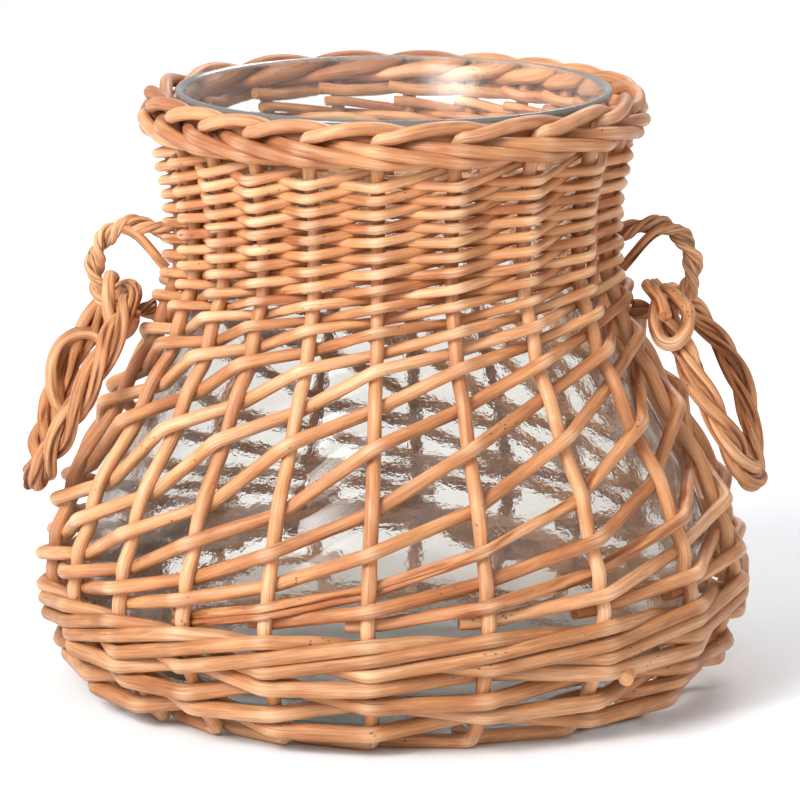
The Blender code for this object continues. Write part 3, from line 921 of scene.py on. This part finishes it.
print("The first weaver starts", round(weaver_crossing(0, 0)[0].z, 4), "m up")

# %% Doubled weaver
DOUBLED_WEAVER = 19
DOUBLED_STAKES = 4
DOUBLED_SHARE = 0.68
DOUBLED_DROP = 0.0036
SECOND_SEED = 71
SECOND_TONE = 0.85
SECOND_TIP = 0.25
SECOND_SPLIT = 0.3


def second_rod(first):
    """The thin rod that lies under a doubled weaver and runs out beside it."""
    way = [weaver_crossing(first, 0, -END_STAKES)]
    way += [weaver_crossing(first, passed) for passed in range(DOUBLED_STAKES + 1)]
    made = []
    for index, (point, half) in enumerate(way):
        share = index / (len(way) - 1)
        drop = Vector((0.0, 0.0, DOUBLED_DROP * (1.0 - share**3)))
        made.append((point - drop, half * blend(DOUBLED_SHARE, SECOND_TIP, share**3)))
    return willow_rod("second_rod", made, SECOND_SEED, SECOND_TONE, spiral_willow, split=SECOND_SPLIT)


print("The second rod drops up to", round(DOUBLED_DROP / MILLIMETRE, 1), "mm below the first")

# %% Spiral weavers
WEAVER_STAKES = 28
WEAVER_SEED = 40
SPLIT_WEAVERS = {1: 0.32, 8: 0.25, 19: 0.30}


def spiral_weaver(number):
    first = number - 1
    way = [weaver_crossing(first, 0, -END_STAKES)]
    way += [weaver_crossing(first, passed) for passed in range(WEAVER_STAKES + 1)]
    way.append(weaver_crossing(first, WEAVER_STAKES, END_STAKES))
    if number == DOUBLED_WEAVER:
        for index in range(DOUBLED_STAKES + 1):
            way[index] = (way[index][0], way[index][1] * DOUBLED_SHARE)
    name = f"spiral_weaver_{number:02d}"
    seed = WEAVER_SEED + number
    split = SPLIT_WEAVERS.get(number, 0.0)
    made = willow_rod(f"willow_{name}", way, seed, tone_of(seed), spiral_willow, split=split)
    if number == DOUBLED_WEAVER:
        made = joined(made.name, [made, second_rod(first)])
    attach(made, "vase")
    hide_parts(name)
    return made


weavers = [spiral_weaver(number) for number in range(1, STAKE_COUNT + 1)]
print(len(weavers), "spiral weavers,", sum(len(rod.data.polygons) for rod in weavers), "faces")

# %% [markdown]
# ## Waling band
# The band at the foot is four rods that go round nearly twice. In the first round each goes in front of two
# stakes and behind one, which gives the long flat strokes at the foot. In the second each goes in front of
# three and behind one: a stroke comes out under the others, climbs over them to the right and goes in at
# the top. Level rows would be simpler, but real strokes lie over each other. The band rises towards the
# right of the front, where a cut stub and a wedged short rod are laid in.

# %% Heights in the band
WALE_RODS = 4
WALE_HALF = 0.00220
WALE_PITCH = 0.0055
WALE_FIRST_HEIGHT = 0.0130
FIRST_ROUND_ROOM = 0.0314
LEAST_PITCH = 0.0050
WALE_STEP_PLACE = 8
WALE_STEP_STAKES = 2


def in_first_round(place):
    return place < STAKE_COUNT + WALE_STEP_PLACE


def stroke_row(order, place):
    """Row of the second round in which a rod lies at a stake: 0 to 2 in front, and 1 where it is behind."""
    stroke = (place + order) % WALE_RODS
    return stroke - 1 if stroke else 1


def wale_height(order, place, row):
    pitch = max((wale_top(place) - FIRST_ROUND_ROOM) / (WALE_RODS - 1), LEAST_PITCH)
    low = WALE_FIRST_HEIGHT + pitch * order
    high = wale_top(place) - WALE_HALF - WALE_PITCH * (WALE_RODS - 2 - row)
    step = (place - STAKE_COUNT - WALE_STEP_PLACE) / WALE_STEP_STAKES
    return blend(low, high, min(max(step, 0.0), 1.0))


print("The band's rods start", round(wale_height(1, 12, 0) - wale_height(0, 12, 0), 4), "m apart")

# %% Strokes
FULL_WALE_HALF = 0.00290
FIRST_ROUND_HALF = 0.00335
FIRST_ROUND_STROKE = 3
WALE_PRESS = 0.0008
WALE_UNEVEN = 0.0009
HALFWAY_DEPTH = -0.0010
HALFWAY_RISE = 0.8


def wale_crossing(order, place, shift=0.0):
    height = wale_height(order, place, stroke_row(order, place)) + uneven(order + 3.0, place, WALE_UNEVEN)
    behind = (place + order) % (FIRST_ROUND_STROKE if in_first_round(place) else WALE_RODS) == 0
    offset = woven_offset(place, height, WALE_HALF, -1.0 if behind else 1.0)
    offset -= math.copysign(WALE_PRESS, offset)
    half = FIRST_ROUND_HALF if in_first_round(place) else FULL_WALE_HALF
    return (on_sleeve(place + shift, height, offset), half)


def halfway(order, place):
    """A point between this stake and the next, where a stroke of the second round comes out or goes in."""
    stroke = (place + order) % WALE_RODS
    if in_first_round(place) or stroke not in (0, WALE_RODS - 1):
        return []
    row = blend(1.0, 0.0, HALFWAY_RISE) if stroke == 0 else blend(1.0, 2.0, HALFWAY_RISE)
    return [(on_sleeve(place + 0.5, wale_height(order, place + 0.5, row), HALFWAY_DEPTH), FULL_WALE_HALF)]


print("A stroke that comes out passes", len(halfway(0, 2 * STAKE_COUNT)), "point between two stakes")

# %% Short rods
STUB_ROUTE = (
    (2.75, 0.0290, -0.0040, 0.0024), (2.50, 0.0300, 0.0000, 0.0027), (2.30, 0.0306, 0.0034, 0.0029),
    (2.20, 0.0309, 0.0066, 0.0030), (2.13, 0.0311, 0.0098, 0.0030),
)
WEDGE_ROUTE = (
    (1.75, 0.0128, -0.0050, 0.0022), (2.00, 0.0138, -0.0060, 0.0026), (2.30, 0.0146, -0.0030, 0.0028),
    (2.55, 0.0158, 0.0002, 0.0028), (2.80, 0.0178, 0.0030, 0.0028), (3.00, 0.0196, 0.0058, 0.0028),
    (3.35, 0.0212, 0.0046, 0.0022),
)
# Each short rod: its route, seed and tone.
SHORT_RODS = ((STUB_ROUTE, 77, 0.2), (WEDGE_ROUTE, 78, 0.5))


def short_rod(route, seed, tone):
    """A short piece laid into the band: its way is given as place, height, offset and half thickness."""
    way = [(on_sleeve(place, height, offset), half) for place, height, offset, half in route]
    return willow_rod("short_rod", way, seed, tone, waling_willow, ease=2)


print(len(SHORT_RODS), "short rods are laid into the band")

# %% Waling rods
SHORT_RODS_WITH = 2
WALE_SEED = 80


def wale_rod(number):
    order = number - 1
    start = WALE_STEP_PLACE + WALE_STEP_STAKES + 1
    start += -(start + order) % FIRST_ROUND_STROKE
    end = WALE_STEP_PLACE + 2 * STAKE_COUNT
    end -= (end + order) % WALE_RODS
    way = [wale_crossing(order, start, -END_STAKES)]
    for place in range(start, end):
        way.append(wale_crossing(order, place))
        way += halfway(order, place)
    way += [wale_crossing(order, end), wale_crossing(order, end, END_STAKES)]
    name = f"wale_rod_{number}"
    seed = WALE_SEED + number
    made = willow_rod(f"willow_{name}", way, seed, tone_of(seed), waling_willow)
    if number == SHORT_RODS_WITH:
        made = joined(made.name, [made, *[short_rod(*facts) for facts in SHORT_RODS]])
    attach(made, "vase")
    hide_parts(name)
    return made


wale = [wale_rod(number) for number in range(1, WALE_RODS + 1)]
print(len(wale), "waling rods,", sum(len(rod.data.polygons) for rod in wale), "faces")

# %% [markdown]
# ## Rings
# A ring stands out from the foot of the neck on each side and goes back into the weave above and below. It
# is a rope of two strands, and each strand is three thin split skeins. So every skein turns round its
# strand, and the strand turns round the ring's middle line. A thicker skein, the root, leaves each ring
# near its top and goes down into the weave.

# %% Middle line of a ring
RING_CENTRE_RADIUS = 0.1045
RING_CENTRE_HEIGHT = 0.1683
RING_HALF_WIDTH = 0.0150
RING_HALF_HEIGHT = 0.0176
RING_TOP_END_DEG = 127.0
RING_LOW_END_DEG = -113.0
RING_TOP_SEAT = 0.0008
RING_LOW_SEAT = -0.0006
RING_STRAND_HALF = 0.00115
RING_STRAND_OFFSET = 0.00180


def ring_middle(share):
    """Middle line of a ring in its upright plane, as (radius, height). Both ends are seated on the sleeve."""
    angle = math.radians(blend(RING_TOP_END_DEG, RING_LOW_END_DEG, share))
    height = RING_CENTRE_HEIGHT + RING_HALF_HEIGHT * math.sin(angle)
    if math.cos(angle) > 0.0:
        return RING_CENTRE_RADIUS + RING_HALF_WIDTH * math.cos(angle), height
    end = math.radians(RING_TOP_END_DEG if angle > 0.0 else RING_LOW_END_DEG)
    end_height = RING_CENTRE_HEIGHT + RING_HALF_HEIGHT * math.sin(end)
    seat = stake_radius(end_height) + RING_STRAND_OFFSET + RING_STRAND_HALF
    seat += RING_TOP_SEAT if angle > 0.0 else RING_LOW_SEAT
    return blend(RING_CENTRE_RADIUS, seat, math.cos(angle) / math.cos(end)), height


print("A ring starts at", [round(value, 4) for value in ring_middle(0.0)], "as radius and height")

# %% Skeins
FULL_STRAND_OFFSET = 0.00190
SKEINS = 3
SKEIN_OFFSET = 0.00130
SKEIN_HALF = 0.00138
SKEIN_TURNS = 5.0
SKEIN_SPACING = 0.0012
SKEIN_SPLIT = 0.45
SKEIN_TONE_SHARE = 0.5
RING_TONES = (0.22, 0.55)
RING_TURNS = 3.0
RING_STEPS = 96
LOOK_AHEAD = 0.01


def ring_spoke(side, share, turns):
    """Direction that turns round the ring's middle line."""
    radius, height = ring_middle(share)
    ahead_radius, ahead_height = ring_middle(share + LOOK_AHEAD)
    along = Vector((side * (ahead_radius - radius), 0.0, ahead_height - height)).normalized()
    sideways = Vector((0.0, 1.0, 0.0))
    turn = 2.0 * math.pi * turns
    return along.cross(sideways) * math.cos(turn) + sideways * math.sin(turn)


def skein(side, number, lay, seed):
    """One split skein of a strand: it turns round the strand, which turns round the ring."""
    way = []
    for step in range(RING_STEPS + 1):
        share = step / RING_STEPS
        radius, height = ring_middle(share)
        strand = ring_spoke(side, share, RING_TURNS * share + 0.5 * number) * FULL_STRAND_OFFSET
        own = ring_spoke(side, share, SKEIN_TURNS * share + lay / SKEINS) * SKEIN_OFFSET
        way.append((Vector((side * radius, 0.0, height)) + strand + own, SKEIN_HALF))
    tone = RING_TONES[side > 0.0] + SKEIN_TONE_SHARE * (tone_of(seed) - 0.5)
    return willow_rod("skein", way, seed, tone, ring_willow, spacing=SKEIN_SPACING, split=SKEIN_SPLIT)


print("A skein turns", SKEIN_TURNS, "times round its strand")

# %% Root of a ring
ROUTE_SPACING = 0.0015
ROUTE_ROUNDS = 3
ROOT_HALF = 0.0021
ROOT_DEPTH = -0.0016
ROOT_ROUTE = ((0.1095, 0.1850), (0.1055, 0.1842), (0.1015, 0.1812), (0.0975, 0.1766), (0.0940, 0.1720),
              (0.0910, 0.1686))
ROOT_SEED = 110.0
ROOT_SIDES = 20
ROOT_SPLIT = 0.6


def eased_way(points, half):
    """A short piece's way of one thickness, with its corners eased."""
    line, thick = even_stations([(point, half) for point in points], ROUTE_SPACING, ROUTE_ROUNDS)
    return [(Vector(point), half) for point, half in zip(line, thick)]


def ring_root(side):
    """A skein that leaves the ring near its top and goes down into the weave."""
    way = eased_way([Vector((side * radius, ROOT_DEPTH, height)) for radius, height in ROOT_ROUTE], ROOT_HALF)
    tone = RING_TONES[side > 0.0]
    return willow_rod("root", way, ROOT_SEED + side, tone, ring_willow, spacing=SKEIN_SPACING,
                      sides=ROOT_SIDES, split=ROOT_SPLIT)


print("A root goes down to", ROOT_ROUTE[-1][1], "m")

# %% Rings
SIDES = (("left", -1.0), ("right", 1.0))
RING_SEED = 120


def ring_strand(side_name, side, number):
    seeds = [RING_SEED + 10 * number + 30 * side + lay for lay in range(SKEINS)]
    name = f"{side_name}_ring_strand_{number}"
    pieces = [skein(side, number, lay, seed) for lay, seed in enumerate(seeds)]
    if number == 2:
        pieces.append(ring_root(side))
    made = joined(f"willow_{name}", pieces)
    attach(made, "vase")
    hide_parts(name)
    return made


rings = [ring_strand(side_name, side, number) for side_name, side in SIDES for number in (1, 2)]
print(len(rings), "ring strands,", sum(len(strand.data.polygons) for strand in rings), "faces")

# %% [markdown]
# ## Hoops
# Each handle is one rod wound three times round on itself, so it looks like a laid rope of three. It hangs
# in its ring and lies on the shoulder. The rod's way is a circle that it travels three times while it turns
# round the circle's line. A real hoop is far from even, so here the way strays by a noise, the rod is
# split, the far leg of the right hoop is spread outwards, and loose ends lie over the rope: a knot at each
# ring, an arch that stands off the left hoop, and a short straight end on the right one.

# %% Place of a hoop
HOOP_RADIUS = 0.0427
HOOP_DROP = 0.0092
HOOP_REST_DEG = 62.1


def hoop_pivot(side):
    return Vector((side * RING_CENTRE_RADIUS, 0.0, RING_CENTRE_HEIGHT - HOOP_DROP))


def hoop_frame(side):
    """Hinge axis, downward direction in the hoop's plane, and the plane's normal towards the sleeve."""
    rest = math.radians(HOOP_REST_DEG)
    axis = Vector((0.0, 1.0, 0.0))
    down = Vector((side * math.cos(rest), 0.0, -math.sin(rest)))
    return axis, down, axis.cross(down) * side


print("The right hoop hangs from", [round(value, 4) for value in hoop_pivot(1.0)])

# %% Loose ends
LOOSE_HALF = 0.0028
LOOSE_SPACING = 0.0015
LOOSE_SIDES = 16
LOOSE_TONE = 0.35
LOOSE_SPLIT = 0.15
KNOT_ROUTES = {
    "left": ((8.0, -6.0, 4.0), (9.0, 4.0, 7.0), (9.5, 10.0, 2.0), (9.0, 13.5, -6.0), (7.0, 15.0, -13.0),
             (3.0, 15.5, -15.5), (0.0, 15.5, -12.0), (-1.0, 17.0, -8.0), (-1.5, 20.0, -6.0)),
    "right": ((3.6, 8.0, 2.0), (7.2, 20.0, 2.0), (12.0, 28.0, -2.4), (10.8, 38.0, -9.4), (6.0, 43.0, -14.1),
              (0.4, 41.0, -13.3), (-2.0, 34.0, -6.9), (-1.2, 27.0, -1.4), (2.0, 20.0, 0.6)),
}
SECOND_ROUTES = {
    "left": ((13.0, -37.5, -29.0), (16.0, -37.5, -24.5), (24.0, -37.5, -24.0), (31.0, -37.0, -28.5),
             (34.5, -36.5, -36.0), (35.0, -36.0, -45.0), (33.0, -35.0, -53.0), (29.0, -33.0, -60.0)),
    "right": ((-3.6, 12.0, 4.5), (-1.5, 24.0, 3.8), (0.8, 36.0, 1.6), (1.8, 46.5, -1.2)),
}


def loose_end(side, route, seed):
    """A rod's end over the rope: its way is in millimetres outwards, to the front and up from the pivot."""
    steps = [Vector((side * out, -front, up)) * MILLIMETRE for out, front, up in route]
    way = eased_way([hoop_pivot(side) + step for step in steps], LOOSE_HALF)
    return willow_rod("loose_end", way, seed, LOOSE_TONE, handle_willow, spacing=LOOSE_SPACING,
                      sides=LOOSE_SIDES, split=LOOSE_SPLIT)


print("Points of the knots:", {side_name: len(route) for side_name, route in KNOT_ROUTES.items()})

# %% Winding of a hoop
HOOP_BULGE = 0.0055
FULL_HOOP_HALF = 0.00275
HOOP_STRAND_OFFSET = 0.00310
HOOP_TOP_SHARE = 0.76
HOOP_TOP_REACH = 3.0
HOOP_FAR_SHARE = 0.88
HOOP_STRAY = 0.0014
HOOP_STRAY_WAVES = 34.0
HOOP_SPREAD = {"left": 0.04, "right": 0.17}
HOOP_LAPS = 3
HOOP_TWISTS = 13
HOOP_LAP_STEPS = 120
HOOP_START_DEG = 100.0
HOOP_END_GAP_DEG = 0.8


def winding_point(side_name, side, share):
    """Point and half thickness at a share of the wound rod's way."""
    axis, down, inward = hoop_frame(side)
    swing = math.radians(HOOP_START_DEG + (360.0 * HOOP_LAPS - HOOP_END_GAP_DEG) * share)
    radial = axis * math.sin(swing) - down * math.cos(swing)
    bulge = HOOP_BULGE * max(math.sin(swing), 0.0) ** 2
    middle = hoop_pivot(side) + (down + radial) * HOOP_RADIUS - inward * bulge
    turn = 2.0 * math.pi * HOOP_TWISTS * share
    spoke = radial * math.cos(turn) + inward * side * math.sin(turn)
    near_top = eased(HOOP_TOP_REACH * math.cos(swing) - (HOOP_TOP_REACH - 1.0))
    narrowed = blend(1.0, HOOP_TOP_SHARE, near_top)
    if side > 0.0:
        narrowed *= blend(1.0, HOOP_FAR_SHARE, eased(math.sin(swing)))
    stray = noise.noise_vector(Vector((share * HOOP_STRAY_WAVES, side, 0.4))) * HOOP_STRAY
    stray.x += side * HOOP_SPREAD[side_name] * max(middle.y, 0.0) ** 2 / HOOP_RADIUS
    return (middle + spoke * HOOP_STRAND_OFFSET * narrowed + stray, FULL_HOOP_HALF * narrowed)


print("A hoop is", round(2.0 * HOOP_RADIUS / MILLIMETRE, 1), "mm across its middle line")

# %% Hoops
HOOP_SEED = 95
KNOT_SEED = 98.0
SECOND_END_SEED = 102.0
HOOP_TONE = 0.42
HOOP_SPACING = 0.0018
HOOP_SIDES = 28
HOOP_SPLIT = 0.6


def hoop_handle(side_name, side):
    steps = HOOP_LAPS * HOOP_LAP_STEPS
    way = [winding_point(side_name, side, step / steps) for step in range(steps + 1)]
    name = f"{side_name}_hoop_handle"
    made = willow_rod(f"willow_{name}", way, HOOP_SEED + side, HOOP_TONE, handle_willow, spacing=HOOP_SPACING,
                      sides=HOOP_SIDES, split=HOOP_SPLIT)
    knot = loose_end(side, KNOT_ROUTES[side_name], KNOT_SEED + side)
    second = loose_end(side, SECOND_ROUTES[side_name], SECOND_END_SEED + side)
    made = joined(made.name, [made, knot, second])
    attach(made, f"{side_name}_handle")
    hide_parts(name)
    return made


hoops = [hoop_handle(side_name, side) for side_name, side in SIDES]
print(len(hoops), "hoops,", [len(rod.data.polygons) for rod in hoops], "faces")

# %% [markdown]
# ## Glass jar
# The jar is thick clear glass with a flat base, a round belly, a drawn-in neck and a rounded lip. Its
# outline is drawn once as a curve and spun round, as glass is turned on a mould. What bends the far side of
# the sleeve into ripples is a fine bump in the finish, which needs no faces. Light gathers in the lip and
# makes it milky, so the lip has a glass of its own whose milky share is painted light. The thick base looks
# darker, so it has a darker glass of its own: partly the tint of thick glass, partly painted shade of the
# band's gaps and of its contact with the floor. Lamps shine straight through the glass, because the light
# that real glass gathers in its shadow takes far more samples than a render has.

# %% Outline of the jar
JAR_OUTER = (
    (0.0, 0.0), (93.0, 0.0), (96.6, 0.5), (98.8, 2.0), (102.8, 7.0), (119.4, 22.5), (126.4, 35.0),
    (128.2, 50.0), (124.9, 70.0), (116.9, 89.9), (97.6, 123.2), (83.5, 151.1), (78.2, 169.7), (77.1, 183.0),
    (77.4, 196.0), (78.2, 208.0), (79.6, 219.0), (82.2, 229.0), (86.0, 237.4), (88.2, 240.2), (87.6, 242.4),
)
JAR_INNER = (
    (85.6, 243.0), (83.9, 242.4), (82.4, 238.0), (77.9, 227.0), (75.3, 217.4), (73.7, 202.0), (73.1, 183.0),
    (74.2, 169.7), (79.5, 151.1), (93.6, 123.2), (112.9, 89.9), (120.9, 70.0), (124.2, 50.0), (122.2, 35.0),
    (115.4, 22.5), (98.8, 14.5), (92.0, 9.1), (80.0, 7.5), (0.0, 7.5),
)
print("Jar outline of", len(JAR_OUTER) + len(JAR_INNER), "points, in millimetres")

# %% Glass finish
GLASS_IOR = 1.5
BROAD_SCALE = (45.0, 45.0, 60.0)
FINE_SCALE = (520.0, 520.0, 640.0)
WAVE_SCALE = (35.0, 35.0, 260.0)
FINE_SHARE = 0.30
WAVE_SHARE = 0.22
RIPPLE_DEPTH = 0.00009
SHADOW_TINT = (0.96, 0.965, 0.96, 1.0)


def glass_finish(name, colour, clearness, reflection):
    """Uneven glass. The share that isn't clear is milky, and lamps shine through it."""
    material, tree, shader = new_finish(name)
    fill(tree, shader, {"Base Color": colour, "Roughness": 0.0, "IOR": GLASS_IOR})
    fill(tree, shader, {"Transmission Weight": clearness, "Specular Tint": (*[reflection] * 3, 1.0)})
    place = add_node(tree, "ShaderNodeTexCoord").outputs["Object"]
    broad = stretched_noise(tree, place, BROAD_SCALE, 2.0)
    fine = stretched_noise(tree, place, FINE_SCALE, 2.0)
    waves = stretched_noise(tree, place, WAVE_SCALE, 2.0, 0.5)
    relief = plus(tree, broad, times(tree, fine, FINE_SHARE))
    relief = plus(tree, relief, times(tree, waves, WAVE_SHARE))
    bump = add_node(tree, "ShaderNodeBump", {"Height": relief, "Strength": 1.0, "Distance": RIPPLE_DEPTH})
    fill(tree, shader, {"Normal": bump.outputs["Normal"]})
    through = add_node(tree, "ShaderNodeBsdfTransparent", {"Color": SHADOW_TINT})
    for_lamps = add_node(tree, "ShaderNodeLightPath").outputs["Is Shadow Ray"]
    both = {"Fac": for_lamps, 1: shader.outputs["BSDF"], 2: through.outputs["BSDF"]}
    mixed = add_node(tree, "ShaderNodeMixShader", both)
    fill(tree, tree.nodes["Material Output"], {"Surface": mixed.outputs["Shader"]})
    return material


print("Ripples of the glass are", round(RIPPLE_DEPTH / MILLIMETRE, 2), "mm deep")

# %% Spin the jar
JAR_STEPS = 120
JAR_SPACING = 0.0030
JAR_MERGE = 1e-5


def spun_jar():
    outline = []
    for radius, height in JAR_OUTER + JAR_INNER:
        outline.append((Vector((radius * MILLIMETRE, 0.0, height * MILLIMETRE)), 1.0))
    line, _ = even_stations(outline, JAR_SPACING, 2)
    poly_path("spun_glass_jar", line)
    bpy.ops.object.convert(target="MESH")
    made = bpy.context.object
    bpy.ops.object.mode_set(mode="EDIT")
    bpy.ops.mesh.select_all(action="SELECT")
    bpy.ops.mesh.spin(steps=JAR_STEPS, angle=2.0 * math.pi, center=(0.0, 0.0, 0.0), axis=(0.0, 0.0, 1.0))
    close_up(JAR_MERGE)
    bpy.ops.object.shade_smooth()
    return made


jar = spun_jar()
print("Jar:", len(jar.data.polygons), "faces")

# %% Glass on the jar
LIP_HEIGHT = 0.2400
BASE_TOP = 0.0105
# Each glass: its name, colour, clearness and strength of reflections.
GLASSES = (
    ("clear_uneven_glass", (0.865, 0.848, 0.81, 1.0), 0.96, 0.34),
    # The lip's milky share is painted light, standing in for the light real glass gathers in its lip.
    ("lip_glass_with_painted_light", (0.60, 0.60, 0.585, 1.0), 0.76, 0.8),
    # The base's darker glass is partly the tint of thick glass, partly painted shade of the band's gaps and
    # floor contact.
    ("thick_base_glass_with_painted_shade", (0.62, 0.59, 0.55, 1.0), 0.96, 0.34),
)

jar.data.materials.clear()
for facts in GLASSES:
    jar.data.materials.append(glass_finish(*facts))
# Lip faces get the painted-light glass; base faces get the darker glass with painted shade.
lip_faces = [face for face in jar.data.polygons if face.center.z > LIP_HEIGHT]
base_faces = [face for face in jar.data.polygons if face.center.z < BASE_TOP]
for slot, faces in ((1, lip_faces), (2, base_faces)):
    for face in faces:
        face.material_index = slot
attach(jar, "vase")
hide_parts("glass_jar")
print(len(lip_faces), "faces of milky lip and", len(base_faces), "of thick base")

# %% [markdown]
# ## Size against the CAD box
# The finished vase should stay inside the CAD model's box. Each axis prints how far its ends lie from the
# box's.

# %% Size against the CAD box
finished_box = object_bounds()
for axis in range(3):
    low = (finished_box[0][axis] - cad_box[0][axis]) / MILLIMETRE
    high = (finished_box[1][axis] - cad_box[1][axis]) / MILLIMETRE
    print("Axis", "XYZ"[axis], "ends", round(low, 2), "and", round(high, 2), "mm from the CAD box")
